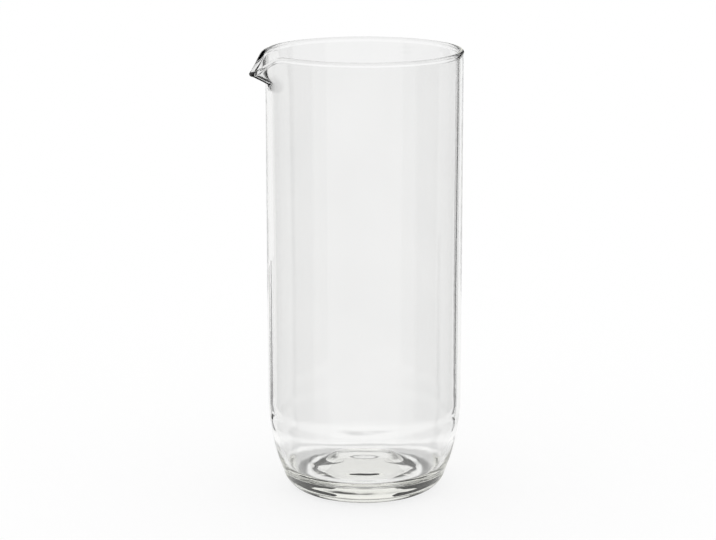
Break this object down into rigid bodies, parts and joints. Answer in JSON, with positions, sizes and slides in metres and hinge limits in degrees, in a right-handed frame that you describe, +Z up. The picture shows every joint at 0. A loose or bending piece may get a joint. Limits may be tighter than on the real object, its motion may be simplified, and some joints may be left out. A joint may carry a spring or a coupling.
{
  "type": "cocktail pitcher",
  "caption": "Tall straight-sided pitcher of clear glass with a pulled V-shaped pouring lip, a fire-polished rim and a heavy domed base, for stirring and pouring drinks.",
  "frame": {"origin": "centre of the foot, in the plane that the pitcher stands on", "axes": "+Z up along the axis of the body towards the rim; the pouring lip points along -X; +Y completes the right-handed frame"},
  "size_m": [0.1059, 0.0964, 0.22],
  "materials": {
    "clear_glass": "clear, smooth, fire-polished at the rim"
  },
  "bodies": {
    "root": {"glass_pitcher": "clear_glass"}
  },
  "joints": []
}
